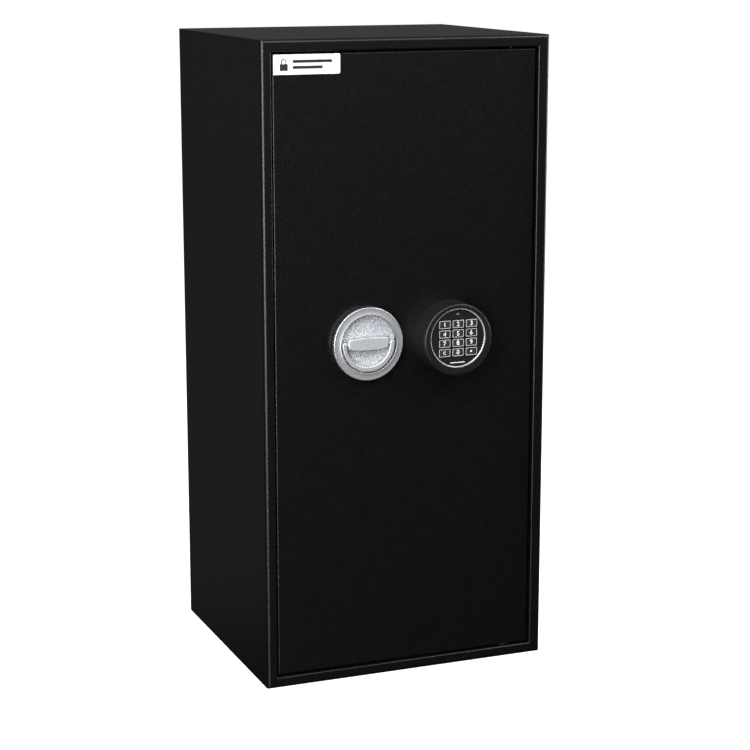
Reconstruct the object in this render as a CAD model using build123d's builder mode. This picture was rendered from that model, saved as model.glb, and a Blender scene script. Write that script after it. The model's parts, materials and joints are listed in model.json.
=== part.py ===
from build123d import *
from math import atan, cos, pi, radians, sin, sqrt, tan
import os

# Upright gun safe. The origin is the centre of the footprint on the floor, the door faces -Y
# and +Z is up. All sizes are in millimetres. The door is modelled closed and unlocked.

# ---- driving dimensions ----------------------------------------------------------------
WIDTH, DEPTH, HEIGHT = 400, 350, 850  # outside of the steel body
SHELL = 3  # body sheet
FRAME_L, FRAME_R, FRAME_TOP, FRAME_LOW = 14, 16, 15.3, 14.5  # width of the front frame around the door
EDGE_R = 4.5  # rounding of the front outer edges
FOLD_R = 1.2  # outside radius of the sheet's folds
DOOR_RECESS = 4  # how far the door face sits behind the frame
DOOR_GAP = 2.5  # gap between door and frame
DOOR_T = 6  # door plate
PAN_DEPTH = 40  # depth of the channel frame behind the door plate
HINGE_IN = 30  # hinge axis from the door's right edge
HINGE_BACK = 12  # hinge axis behind the door face
PIN_R, BUSH_R = 5, 8  # hinge pin and the bush it turns in
FIT = 0.05  # radial running clearance
STOP_LAP = 16  # how far the door stop reaches into the opening
ROUNDING = 1.8  # rounding of the opening's front edge

HANDLE_X, HANDLE_Z = -57.9, 457  # handle axis on the door
KEYPAD_X, KEYPAD_Z = 57.5, 458.8  # keypad axis on the door
HANDLE_R, HANDLE_H = 48.5, 10.5  # handle disc
RECESS_R = 38.5  # recess in the handle disc
KEYPAD_R, KEYPAD_H = 48, 37  # keypad housing
DIAL_UP = 2.6  # centre of the keypad's trim ring above the housing's centre
KEY_W, KEY_H = 16.5, 10.8  # one key cap
KEY_PITCH_X, KEY_PITCH_Z = 19.05, 12.53
KEY_TRAVEL = 1

MODULE, PINION_TEETH = 1.25, 18  # boltwork pinion and racks
BOLT_R = 10  # locking bolts on the opening side
ROD_R, ROD_W = 9, 14  # upright rods: round ends, flat middle
LOCK_THROW = 8

# ---- positions worked out from them ------------------------------------------------------
FRONT, BACK = -DEPTH / 2, DEPTH / 2
OPEN_L, OPEN_R = -WIDTH / 2 + FRAME_L, WIDTH / 2 - FRAME_R
OPEN_Z0, OPEN_Z1 = FRAME_LOW, HEIGHT - FRAME_TOP
IN_X = WIDTH / 2 - SHELL  # inner face of the body's sides
DOOR_L, DOOR_R = OPEN_L + DOOR_GAP, OPEN_R - DOOR_GAP
DOOR_Z0, DOOR_Z1 = OPEN_Z0 + DOOR_GAP, OPEN_Z1 - DOOR_GAP
DOOR_FACE = FRONT + DOOR_RECESS
DOOR_REAR = DOOR_FACE + DOOR_T
PIVOT_X, PIVOT_Y = DOOR_R - HINGE_IN, DOOR_FACE + HINGE_BACK
PAN_X = -OPEN_L - STOP_LAP - 4
PAN_Z0, PAN_Z1 = OPEN_Z0 + STOP_LAP + 4, OPEN_Z1 - STOP_LAP - 4
PAN_REAR = DOOR_REAR + PAN_DEPTH
PAN_WALL = 2.5
JAMB_T = 2.5
JAMB_REAR = FRONT + 47
STOP_Y0, STOP_Y1 = DOOR_REAR + 2, DOOR_REAR + 5
KEEPER_Y1 = STOP_Y1 + 6
STOP_END = PIVOT_X - 33  # the stop ends here, clear of the hinge side's swing
BOLT_Y = KEEPER_Y1 + BOLT_R + 1
ROD_Y = BOLT_Y
PITCH_R = MODULE * PINION_TEETH / 2
ADDENDUM, DEDENDUM = MODULE, 1.25 * MODULE
PRESSURE = radians(20)
RACK_THINNING = 0.1  # backlash, taken off each side of a rack tooth
TRAVEL = PITCH_R * pi / 2  # bolt travel for a quarter turn of the handle
HARD_REAR = DOOR_REAR + 3
CARRIAGE_Y0, CARRIAGE_Y1 = HARD_REAR + 2, HARD_REAR + 7
ROD_Y0, ROD_Y1 = CARRIAGE_Y1 + 2, CARRIAGE_Y1 + 7
SPINDLE_R = 6
HANDLE_BACK = DOOR_FACE - 1
HANDLE_FRONT = HANDLE_BACK - HANDLE_H
RECESS_FLOOR = HANDLE_BACK - 2
BAIL_Y = RECESS_FLOOR - 4.5
KEYPAD_FRONT = DOOR_FACE - KEYPAD_H
BASE_H = 6
DIAL_Z = KEYPAD_Z + DIAL_UP
DIAL_Y = KEYPAD_FRONT + 2.9  # plane of the recessed keypad face
DIAL_R = 39.75
BOARD_Y = DIAL_Y + 7.1
KEY_ROWS = (("key_1", "key_2", "key_3"), ("key_4", "key_5", "key_6"),
            ("key_7", "key_8", "key_9"), ("key_clear", "key_0", "key_enter"))
BOLT_ZS = (210, HANDLE_Z, 704)
SHELF_Z = 640
SHELF_FRONT, SHELF_BACK = -104, 166
STANDARD_YS = (-75, 125)
HOLE_R = 6  # anchor holes
FLOOR_HOLES_X, FLOOR_HOLES_Y = 200, 180
BACK_HOLES_X, BACK_HOLES_Z = 200, 500
BACK_HOLES_MID = 400
DRAWER_W = 25
CELL_R, CELL_L = 5.2, 44.5

os.makedirs("parts", exist_ok=True)


# ---- helpers -----------------------------------------------------------------------------
def block(x, y, z, mode=Mode.ADD):
    """A box between two x, two y and two z values."""
    with Locations(((x[0] + x[1]) / 2, (y[0] + y[1]) / 2, (z[0] + z[1]) / 2)):
        Box(x[1] - x[0], y[1] - y[0], z[1] - z[0], mode=mode)


def round_x(y, z, x, r, mode=Mode.ADD):
    """A cylinder along X between two x values."""
    with Locations(Location((x[0], y, z), (0, 90, 0))):
        Cylinder(r, x[1] - x[0], align=(Align.CENTER, Align.CENTER, Align.MIN), mode=mode)


def round_y(x, z, y, r, mode=Mode.ADD):
    """A cylinder along Y between two y values."""
    with Locations(Location((x, y[0], z), (-90, 0, 0))):
        Cylinder(r, y[1] - y[0], align=(Align.CENTER, Align.CENTER, Align.MIN), mode=mode)


def round_z(x, y, z, r, mode=Mode.ADD):
    """A cylinder along Z between two z values."""
    with Locations(Location((x, y, z[0]))):
        Cylinder(r, z[1] - z[0], align=(Align.CENTER, Align.CENTER, Align.MIN), mode=mode)


def facing(y):
    """The upright plane at y, seen from the front: local x is +X, local y is +Z, normal is -Y."""
    return Plane.XZ.offset(-y)


def save(piece, label):
    piece.part.label = label
    export_step(piece.part, f"parts/{label}.step")


# ---- cabinet -------------------------------------------------------------------------------
with BuildPart() as outer_shell:
    block((-WIDTH / 2, WIDTH / 2), (FRONT, BACK), (0, HEIGHT))
    fillet(outer_shell.faces().sort_by(Axis.Y)[0].edges(), EDGE_R)
    fillet(outer_shell.edges().filter_by(Axis.Y), FOLD_R)
    block((-IN_X, IN_X), (FRONT + SHELL, BACK + 1), (SHELL, HEIGHT - SHELL), Mode.SUBTRACT)
    block((OPEN_L, OPEN_R), (FRONT - 1, FRONT + SHELL + 1), (OPEN_Z0, OPEN_Z1), Mode.SUBTRACT)
    opening_edges = outer_shell.edges().filter_by_position(Axis.Y, FRONT, FRONT)
    opening_edges = opening_edges.filter_by(lambda e: OPEN_L - 0.1 < e.center().X < OPEN_R + 0.1)
    opening_edges = opening_edges.filter_by(lambda e: OPEN_Z0 - 0.1 < e.center().Z < OPEN_Z1 + 0.1)
    fillet(opening_edges, ROUNDING)
    for hole_x in (-FLOOR_HOLES_X / 2, FLOOR_HOLES_X / 2):
        for hole_y in (-FLOOR_HOLES_Y / 2, FLOOR_HOLES_Y / 2):
            round_z(hole_x, hole_y, (-1, SHELL + 1), HOLE_R, Mode.SUBTRACT)
save(outer_shell, "outer_shell")

with BuildPart() as back_plate:
    block((-IN_X, IN_X), (BACK - SHELL, BACK), (SHELL, HEIGHT - SHELL))
    for hole_x in (-BACK_HOLES_X / 2, BACK_HOLES_X / 2):
        for hole_z in (BACK_HOLES_MID - BACK_HOLES_Z / 2, BACK_HOLES_MID + BACK_HOLES_Z / 2):
            round_y(hole_x, hole_z, (BACK - SHELL - 1, BACK + 1), HOLE_R, Mode.SUBTRACT)
save(back_plate, "back_plate")

# The jamb is a folded frame: it runs back from the front flange and turns out to the body.
with BuildPart() as door_jamb:
    for side, opening in ((-1, OPEN_L), (1, OPEN_R)):
        wall = sorted((opening, opening + side * JAMB_T))
        web = sorted((opening, side * IN_X))
        block(wall, (FRONT + SHELL, JAMB_REAR), (OPEN_Z0 - JAMB_T, OPEN_Z1 + JAMB_T))
        block(web, (JAMB_REAR - JAMB_T, JAMB_REAR), (SHELL, HEIGHT - SHELL))
    for z_in, z_out, z_shell in ((OPEN_Z0, OPEN_Z0 - JAMB_T, SHELL),
                                 (OPEN_Z1, OPEN_Z1 + JAMB_T, HEIGHT - SHELL)):
        block((OPEN_L, OPEN_R), (FRONT + SHELL, JAMB_REAR), sorted((z_in, z_out)))
        block((OPEN_L, OPEN_R), (JAMB_REAR - JAMB_T, JAMB_REAR), sorted((z_in, z_shell)))
        round_z(PIVOT_X, PIVOT_Y, (min(z_in, z_out) - 1, max(z_in, z_out) + 1), BUSH_R, Mode.SUBTRACT)
save(door_jamb, "door_jamb")

with BuildPart() as door_stop:
    stop_y = (STOP_Y0, STOP_Y1)
    block((OPEN_L, OPEN_L + STOP_LAP), stop_y, (OPEN_Z0, OPEN_Z1))
    block((OPEN_L, STOP_END), stop_y, (OPEN_Z0, OPEN_Z0 + STOP_LAP))
    block((OPEN_L, STOP_END), stop_y, (OPEN_Z1 - STOP_LAP, OPEN_Z1))
save(door_stop, "door_stop")

# The bolts run behind these thick pads, which stiffen the stop.
KEEPER_HALF, KEEPER_IN = 38, STOP_LAP - 1
with BuildPart() as bolt_keepers:
    keeper_y = (STOP_Y1, KEEPER_Y1)
    for bolt_z in BOLT_ZS:
        block((OPEN_L, OPEN_L + KEEPER_IN), keeper_y, (bolt_z - KEEPER_HALF, bolt_z + KEEPER_HALF))
    top_x, bottom_x = HANDLE_X - PITCH_R, HANDLE_X + PITCH_R
    block((top_x - KEEPER_HALF, top_x + KEEPER_HALF), keeper_y, (OPEN_Z1 - KEEPER_IN, OPEN_Z1))
    block((bottom_x - KEEPER_HALF, bottom_x + KEEPER_HALF), keeper_y, (OPEN_Z0, OPEN_Z0 + KEEPER_IN))
save(bolt_keepers, "bolt_keepers")

with BuildPart() as hinge_bushes:
    for bush_z in ((OPEN_Z0 - 10, OPEN_Z0), (OPEN_Z1, OPEN_Z1 + 10)):
        round_z(PIVOT_X, PIVOT_Y, bush_z, BUSH_R)
        round_z(PIVOT_X, PIVOT_Y, (bush_z[0] - 1, bush_z[1] + 1), PIN_R + FIT, Mode.SUBTRACT)
save(hinge_bushes, "hinge_bushes")

WASHER_R, WASHER_PLAY = 11, 0.1
with BuildPart() as thrust_washer:
    round_z(PIVOT_X, PIVOT_Y, (OPEN_Z0, DOOR_Z0 - WASHER_PLAY), WASHER_R)
    round_z(PIVOT_X, PIVOT_Y, (OPEN_Z0 - 1, DOOR_Z0 + 1), PIN_R + FIT, Mode.SUBTRACT)
save(thrust_washer, "thrust_washer")

SEAL_IN, SEAL_W, SEAL_T = 5, 8, 1.6
with BuildPart() as door_seal:
    seal_y = (STOP_Y0 - SEAL_T, STOP_Y0)
    seal_x = OPEN_L + SEAL_IN
    seal_z0, seal_z1 = OPEN_Z0 + SEAL_IN, OPEN_Z1 - SEAL_IN
    block((seal_x, seal_x + SEAL_W), seal_y, (seal_z0, seal_z1))
    block((seal_x, STOP_END), seal_y, (seal_z0, seal_z0 + SEAL_W))
    block((seal_x, STOP_END), seal_y, (seal_z1 - SEAL_W, seal_z1))
    fillet(door_seal.faces().sort_by(Axis.Y)[0].outer_wire().edges(), 0.6)
save(door_seal, "door_seal")

STANDARD_T, STANDARD_W, STANDARD_Z = 2.5, 16, (40, 800)
SLOTS, SLOT_PITCH, SLOT_HALF_W, SLOT_HALF_H = 18, 40, 2, 6
with BuildPart() as shelf_standards:
    for side in (-1, 1):
        strip_x = sorted((side * IN_X, side * (IN_X - STANDARD_T)))
        for standard_y in STANDARD_YS:
            block(strip_x, (standard_y - STANDARD_W / 2, standard_y + STANDARD_W / 2), STANDARD_Z)
            for slot in range(SLOTS):
                slot_z = SHELF_Z - 12 - (slot - 3) * SLOT_PITCH
                block((strip_x[0] - 1, strip_x[1] + 1), (standard_y - SLOT_HALF_W, standard_y + SLOT_HALF_W),
                      (slot_z - SLOT_HALF_H, slot_z + SLOT_HALF_H), Mode.SUBTRACT)
save(shelf_standards, "shelf_standards")

SHELF_X, SHELF_SHEET, SHELF_LIP = IN_X - STANDARD_T - 1.5, 1.5, 18
with BuildPart() as upper_shelf:
    block((-SHELF_X, SHELF_X), (SHELF_FRONT, SHELF_BACK), (SHELF_Z - SHELF_LIP, SHELF_Z))
    hollow_x = SHELF_X - SHELF_SHEET
    hollow_y = (SHELF_FRONT + SHELF_SHEET, SHELF_BACK - SHELF_SHEET)
    block((-hollow_x, hollow_x), hollow_y, (SHELF_Z - SHELF_LIP - 1, SHELF_Z - SHELF_SHEET), Mode.SUBTRACT)
    fillet(upper_shelf.edges().filter_by(Axis.X).group_by(Axis.Z)[-1], FOLD_R)
save(upper_shelf, "upper_shelf")

with BuildPart() as shelf_mat:
    block((-SHELF_X + 2, SHELF_X - 2), (SHELF_FRONT + 2, SHELF_BACK - 2), (SHELF_Z, SHELF_Z + 2))
save(shelf_mat, "shelf_mat")

# Each clip hooks through a slot of its standard and carries the shelf's folded edge.
with BuildPart() as shelf_clips:
    clip_top = SHELF_Z - SHELF_LIP
    strip_face = IN_X - STANDARD_T
    for side in (-1, 1):
        for standard_y in STANDARD_YS:
            clip_y = (standard_y - 1.5, standard_y + 1.5)
            spine_x = sorted((side * strip_face, side * (strip_face - 1)))
            hook_x = sorted((side * (IN_X - 0.5), side * (strip_face - 1)))
            arm_x = sorted((side * strip_face, side * (IN_X - 16)))
            block(spine_x, clip_y, (clip_top - 8, clip_top + 11))
            block(hook_x, clip_y, (clip_top + 0.5, clip_top + 11))
            block(arm_x, clip_y, (clip_top - 8, clip_top))
save(shelf_clips, "shelf_clips")

NOTCH_R, NOTCHES, NOTCH_PITCH = 15, 5, 66
RACK_X, RACK_D, RACK_Z = 170, 62, (555, 583)
with BuildPart() as barrel_rack:
    rack_back = BACK - SHELL
    block((-RACK_X, RACK_X), (rack_back - RACK_D, rack_back), RACK_Z)
    notch_y = rack_back - RACK_D + NOTCH_R + 3
    cut_z = (RACK_Z[0] - 1, RACK_Z[1] + 1)
    for i in range(NOTCHES):
        notch_x = (i - (NOTCHES - 1) / 2) * NOTCH_PITCH
        round_z(notch_x, notch_y, cut_z, NOTCH_R, Mode.SUBTRACT)
        block((notch_x - NOTCH_R, notch_x + NOTCH_R), (rack_back - RACK_D - 1, notch_y), cut_z, Mode.SUBTRACT)
    fillet(barrel_rack.edges().filter_by(Axis.Z).group_by(Axis.Y)[0], 5)
save(barrel_rack, "barrel_rack")

MAT_T, MAT_HOLE_R = 3, 16
with BuildPart() as floor_mat:
    block((-IN_X + 3, IN_X - 3), (JAMB_REAR + 3, BACK - SHELL - 2), (SHELL, SHELL + MAT_T))
    for hole_x in (-FLOOR_HOLES_X / 2, FLOOR_HOLES_X / 2):
        for hole_y in (-FLOOR_HOLES_Y / 2, FLOOR_HOLES_Y / 2):
            round_z(hole_x, hole_y, (SHELL - 1, SHELL + MAT_T + 1), MAT_HOLE_R, Mode.SUBTRACT)
save(floor_mat, "floor_mat")

# ---- door ----------------------------------------------------------------------------------
SCREW_X, SCREW_R = 33, 2.5  # keypad fixing screws, each side of the keypad's centre
DOOR_BUSH_R, CABLE_HOLE_R = 9, 5
with BuildPart() as door_plate:
    block((DOOR_L, DOOR_R), (DOOR_FACE, DOOR_REAR), (DOOR_Z0, DOOR_Z1))
    fillet(door_plate.faces().sort_by(Axis.Y)[0].edges(), 2)
    round_y(HANDLE_X, HANDLE_Z, (DOOR_FACE - 1, DOOR_REAR + 1), DOOR_BUSH_R, Mode.SUBTRACT)
    round_y(KEYPAD_X, KEYPAD_Z, (DOOR_FACE - 1, DOOR_REAR + 1), CABLE_HOLE_R, Mode.SUBTRACT)
    for screw_x in (KEYPAD_X - SCREW_X, KEYPAD_X + SCREW_X):
        round_y(screw_x, KEYPAD_Z, (DOOR_FACE - 1, DOOR_REAR + 1), SCREW_R, Mode.SUBTRACT)
save(door_plate, "door_plate")

LABEL_W, LABEL_H, LABEL_T = 89, 25, 0.5
with BuildPart() as door_label:
    label_x0, label_z1 = DOOR_L + 1.5, DOOR_Z1 - 1.2
    block((label_x0, label_x0 + LABEL_W), (DOOR_FACE - LABEL_T, DOOR_FACE), (label_z1 - LABEL_H, label_z1))
    fillet(door_label.edges().filter_by(Axis.Y), 1.5)
save(door_label, "door_label")

COVER_LIP = 12
SCREWS_A_SIDE = 4
screw_pitch = (PAN_Z1 - PAN_Z0 - COVER_LIP) / (SCREWS_A_SIDE - 1)
screw_spots = [(side * (PAN_X - COVER_LIP / 2), PAN_Z0 + COVER_LIP / 2 + i * screw_pitch)
               for side in (-1, 1) for i in range(SCREWS_A_SIDE)]
with BuildPart() as door_channel:
    block((-PAN_X, PAN_X), (DOOR_REAR, PAN_REAR), (PAN_Z0, PAN_Z1))
    block((-PAN_X + PAN_WALL, PAN_X - PAN_WALL), (DOOR_REAR - 1, PAN_REAR - PAN_WALL),
          (PAN_Z0 + PAN_WALL, PAN_Z1 - PAN_WALL), Mode.SUBTRACT)
    block((-PAN_X + COVER_LIP, PAN_X - COVER_LIP), (PAN_REAR - PAN_WALL - 1, PAN_REAR + 1),
          (PAN_Z0 + COVER_LIP, PAN_Z1 - COVER_LIP), Mode.SUBTRACT)
    for bolt_z in BOLT_ZS:
        round_x(BOLT_Y, bolt_z, (-PAN_X - 1, -PAN_X + PAN_WALL + 1), BOLT_R + 0.3, Mode.SUBTRACT)
    round_z(HANDLE_X - PITCH_R, ROD_Y, (PAN_Z1 - PAN_WALL - 1, PAN_Z1 + 1), ROD_R + 0.3, Mode.SUBTRACT)
    round_z(HANDLE_X + PITCH_R, ROD_Y, (PAN_Z0 - 1, PAN_Z0 + PAN_WALL + 1), ROD_R + 0.3, Mode.SUBTRACT)
    for spot_x, spot_z in screw_spots:
        round_y(spot_x, spot_z, (PAN_REAR - PAN_WALL - 1, PAN_REAR + 1), 2, Mode.SUBTRACT)
save(door_channel, "door_channel")

COVER_T = 2
with BuildPart() as boltwork_cover:
    block((-PAN_X, PAN_X), (PAN_REAR, PAN_REAR + COVER_T), (PAN_Z0, PAN_Z1))
    fillet(boltwork_cover.edges().filter_by(Axis.Y), 4)
    for spot_x, spot_z in screw_spots:
        round_y(spot_x, spot_z, (PAN_REAR - 1, PAN_REAR + COVER_T + 1), 2, Mode.SUBTRACT)
save(boltwork_cover, "boltwork_cover")

with BuildPart() as cover_screws:
    for spot_x, spot_z in screw_spots:
        round_y(spot_x, spot_z, (PAN_REAR - 6, PAN_REAR + COVER_T + 1), 2)
        round_y(spot_x, spot_z, (PAN_REAR + COVER_T, PAN_REAR + COVER_T + 2.2), 4)
    fillet(cover_screws.faces().group_by(Axis.Y)[-1].edges(), 1.2)
save(cover_screws, "cover_screws")

with BuildPart() as hard_plate:
    block((HANDLE_X - 50, KEYPAD_X + 50), (DOOR_REAR, HARD_REAR), (HANDLE_Z - 62, HANDLE_Z + 73))
    round_y(HANDLE_X, HANDLE_Z, (DOOR_REAR - 1, HARD_REAR + 1), DOOR_BUSH_R, Mode.SUBTRACT)
    round_y(KEYPAD_X, KEYPAD_Z, (DOOR_REAR - 1, HARD_REAR + 1), CABLE_HOLE_R, Mode.SUBTRACT)
    for screw_x in (KEYPAD_X - SCREW_X, KEYPAD_X + SCREW_X):
        round_y(screw_x, KEYPAD_Z, (DOOR_REAR - 1, HARD_REAR + 1), SCREW_R, Mode.SUBTRACT)
    fillet(hard_plate.edges().filter_by(Axis.Y).filter_by(GeomType.LINE), 5)
save(hard_plate, "hard_plate")

with BuildPart() as hinge_blocks:
    for block_z in ((DOOR_Z0, PAN_Z0), (PAN_Z1, DOOR_Z1)):
        block((PIVOT_X - 12.5, PIVOT_X + 12.5), (DOOR_REAR, DOOR_REAR + 15), block_z)
        round_z(PIVOT_X, PIVOT_Y, (block_z[0] - 1, block_z[1] + 1), PIN_R, Mode.SUBTRACT)
save(hinge_blocks, "hinge_blocks")

with BuildPart() as hinge_pins:
    round_z(PIVOT_X, PIVOT_Y, (OPEN_Z0 - 9, PAN_Z0), PIN_R)
    round_z(PIVOT_X, PIVOT_Y, (PAN_Z1, OPEN_Z1 + 9), PIN_R)
    chamfer(hinge_pins.edges().filter_by(GeomType.CIRCLE), 0.8)
save(hinge_pins, "hinge_pins")

# Shoulder studs carry the carriage's bar in its two slots.
ARM_Z0, ARM_Z1 = HANDLE_Z - PITCH_R - 17.75, HANDLE_Z - PITCH_R - DEDENDUM
STUD_Z = (ARM_Z0 + ARM_Z1) / 2 - 1
STUD_XS = (HANDLE_X - 42, HANDLE_X + 45)
with BuildPart() as guide_studs:
    for stud_x in STUD_XS:
        round_y(stud_x, STUD_Z, (HARD_REAR, CARRIAGE_Y1 + 0.5), 3)
        round_y(stud_x, STUD_Z, (HARD_REAR, CARRIAGE_Y0 - 0.5), 5)
        round_y(stud_x, STUD_Z, (CARRIAGE_Y1 + 0.4, CARRIAGE_Y1 + 2.4), 5.5)
save(guide_studs, "guide_studs")

with BuildPart() as rod_guides:
    for guide_x, guide_z in ((HANDLE_X - PITCH_R, PAN_Z1 - 76), (HANDLE_X + PITCH_R, PAN_Z0 + 64)):
        block((guide_x - 16, guide_x + 16), (DOOR_REAR, ROD_Y1 + 4), (guide_z, guide_z + 12))
        block((guide_x - ROD_W / 2 - 0.3, guide_x + ROD_W / 2 + 0.3), (ROD_Y0 - 0.3, ROD_Y1 + 0.3),
              (guide_z - 1, guide_z + 13), Mode.SUBTRACT)
save(rod_guides, "rod_guides")

# ---- lock behind the keypad ------------------------------------------------------------------
LOCK_X, LOCK_W = HANDLE_X + 83.5, 8  # the lock's own bolt
CASE_X, CASE_Z = (LOCK_X - 12, KEYPAD_X + 34), (ARM_Z1 + 3.5, ARM_Z1 + 75)
CASE_Y, CASE_WALL = (HARD_REAR, HARD_REAR + 26), 2.5
with BuildPart() as lock_case:
    block(CASE_X, CASE_Y, CASE_Z)
    fillet(lock_case.edges().filter_by(Axis.Y), 4)
    fillet(lock_case.faces().sort_by(Axis.Y)[-1].edges(), 1.5)
    block((CASE_X[0] + CASE_WALL, CASE_X[1] - CASE_WALL), (CASE_Y[0] - 1, CASE_Y[1] - CASE_WALL),
          (CASE_Z[0] + CASE_WALL, CASE_Z[1] - CASE_WALL), Mode.SUBTRACT)
    block((LOCK_X - LOCK_W / 2 - 0.3, LOCK_X + LOCK_W / 2 + 0.3), (CARRIAGE_Y0 - 0.3, CARRIAGE_Y1 + 0.3),
          (CASE_Z[0] - 1, CASE_Z[0] + CASE_WALL + 1), Mode.SUBTRACT)
save(lock_case, "lock_case")

with BuildPart() as lock_bolt:
    block((LOCK_X - LOCK_W / 2, LOCK_X + LOCK_W / 2), (CARRIAGE_Y0, CARRIAGE_Y1), (ARM_Z1 + 1, ARM_Z1 + 32))
    block((LOCK_X - LOCK_W / 2 - 2, LOCK_X + LOCK_W / 2 + 2), (CARRIAGE_Y0, CARRIAGE_Y1),
          (CASE_Z[0] + CASE_WALL + LOCK_THROW + 1, ARM_Z1 + 32))
    chamfer(lock_bolt.edges().filter_by(Axis.Y).group_by(Axis.Z)[0], 1)
save(lock_bolt, "lock_bolt")

# ---- handle ------------------------------------------------------------------------------------
with BuildPart() as spindle_bush:
    round_y(HANDLE_X, HANDLE_Z, (DOOR_FACE, HARD_REAR), DOOR_BUSH_R)
    round_y(HANDLE_X, HANDLE_Z, (DOOR_FACE - 1, HARD_REAR + 1), SPINDLE_R + FIT, Mode.SUBTRACT)
save(spindle_bush, "spindle_bush")

with BuildPart() as handle_escutcheon:
    round_y(HANDLE_X, HANDLE_Z, (DOOR_FACE - 0.7, DOOR_FACE), HANDLE_R - 3)
    round_y(HANDLE_X, HANDLE_Z, (DOOR_FACE - 2, DOOR_FACE + 1), DOOR_BUSH_R, Mode.SUBTRACT)
save(handle_escutcheon, "handle_escutcheon")

with BuildPart() as handle_disc:
    round_y(HANDLE_X, HANDLE_Z, (HANDLE_FRONT, HANDLE_BACK), HANDLE_R)
    chamfer(handle_disc.faces().sort_by(Axis.Y)[0].edges(), 1.2)
    round_y(HANDLE_X, HANDLE_Z, (HANDLE_FRONT - 1, RECESS_FLOOR), RECESS_R, Mode.SUBTRACT)
    fillet(handle_disc.faces().sort_by(Axis.Y)[0].inner_wires()[0].edges(), 0.8)
save(handle_disc, "handle_disc")

BAR_L, BAR_END, BAR_MID = 56.6, 14.5, 18.6  # grip bar: length, height at its ends and in the middle
BAR_FRONT = HANDLE_FRONT + 0.6
BAIL_R, BAIL_BAND, BAIL_T, ARM_UP = 36.6, 6.3, 5, 3.75
BAIL_PIN_R = 2
with BuildPart() as grip_bar:
    with BuildSketch(facing(RECESS_FLOOR)):
        with BuildLine():
            left_top = (HANDLE_X - BAR_L / 2, HANDLE_Z + BAR_END / 2)
            right_top = (HANDLE_X + BAR_L / 2, HANDLE_Z + BAR_END / 2)
            left_low = (HANDLE_X - BAR_L / 2, HANDLE_Z - BAR_END / 2)
            right_low = (HANDLE_X + BAR_L / 2, HANDLE_Z - BAR_END / 2)
            ThreePointArc(left_top, (HANDLE_X, HANDLE_Z + BAR_MID / 2), right_top)
            Line(right_top, right_low)
            ThreePointArc(right_low, (HANDLE_X, HANDLE_Z - BAR_MID / 2), left_low)
            Line(left_low, left_top)
        make_face()
    extrude(amount=RECESS_FLOOR - BAR_FRONT)
    chamfer(grip_bar.faces().sort_by(Axis.Y)[0].edges(), 1.6)
    for side in (-1, 1):
        pin_x = sorted((HANDLE_X + side * (BAR_L / 2 - 2), HANDLE_X + side * (BAIL_R - 2)))
        round_x(BAIL_Y, HANDLE_Z, pin_x, BAIL_PIN_R)
save(grip_bar, "grip_bar")

with BuildPart() as bail:
    with BuildSketch(facing(BAIL_Y + BAIL_T / 2)):
        with Locations((HANDLE_X, HANDLE_Z)):
            Circle(BAIL_R)
            Circle(BAIL_R - BAIL_BAND, mode=Mode.SUBTRACT)
        with Locations((HANDLE_X, HANDLE_Z + BAIL_R)):
            Rectangle(3 * BAIL_R, 2 * (BAIL_R - ARM_UP), mode=Mode.SUBTRACT)
    extrude(amount=BAIL_T)
    fillet(bail.edges().filter_by(Axis.X).group_by(Axis.Z)[-1], 1.5)
    fillet(bail.faces().sort_by(Axis.Y)[0].edges().filter_by(GeomType.CIRCLE), 0.9)
    pin_hole_x = (HANDLE_X - BAIL_R - 1, HANDLE_X + BAIL_R + 1)
    round_x(BAIL_Y, HANDLE_Z, pin_hole_x, BAIL_PIN_R + FIT, Mode.SUBTRACT)
save(bail, "bail")

RING_Y = ROD_Y1 + 1.2
with BuildPart() as spindle:
    round_y(HANDLE_X, HANDLE_Z, (HANDLE_BACK, RING_Y + 2.5), SPINDLE_R)
    chamfer(spindle.edges().filter_by(GeomType.CIRCLE).sort_by(Axis.Y)[-1], 0.8)
save(spindle, "spindle")


def flank_angle(radius, base_r, half_at_base):
    """Half the angle that an involute tooth spans at a radius."""
    roll = sqrt((radius / base_r) ** 2 - 1)
    return half_at_base - (roll - atan(roll))


def tooth_points(centre):
    """Outline of one pinion tooth around the angle centre, from root to tip and back."""
    base_r, tip_r, root_r = PITCH_R * cos(PRESSURE), PITCH_R + ADDENDUM, PITCH_R - DEDENDUM
    half_at_base = pi / (2 * PINION_TEETH) + tan(PRESSURE) - PRESSURE
    radii = [base_r + (tip_r - base_r) * i / 4 for i in range(5)]
    rising = [(root_r, half_at_base)] + [(r, flank_angle(r, base_r, half_at_base)) for r in radii]
    points = [(r, centre - a) for r, a in rising] + [(r, centre + a) for r, a in reversed(rising)]
    return [(HANDLE_X + r * cos(a), HANDLE_Z + r * sin(a)) for r, a in points]


with BuildPart() as drive_pinion:
    with BuildSketch(facing(RING_Y - 1)):
        with BuildLine():
            teeth = [tooth_points(2 * pi * i / PINION_TEETH) for i in range(PINION_TEETH)]
            Polyline(*[point for tooth in teeth for point in tooth], close=True)
        make_face()
        with Locations((HANDLE_X, HANDLE_Z)):
            Circle(SPINDLE_R, mode=Mode.SUBTRACT)
    extrude(amount=RING_Y - 1 - (CARRIAGE_Y0 - 0.5))
save(drive_pinion, "drive_pinion")

with BuildPart() as retaining_ring:
    round_y(HANDLE_X, HANDLE_Z, (RING_Y - 1, RING_Y), 9)
    round_y(HANDLE_X, HANDLE_Z, (RING_Y - 2, RING_Y + 1), SPINDLE_R, Mode.SUBTRACT)
    block((HANDLE_X - 2, HANDLE_X + 2), (RING_Y - 2, RING_Y + 1), (HANDLE_Z, HANDLE_Z + 12), Mode.SUBTRACT)
save(retaining_ring, "retaining_ring")


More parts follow.
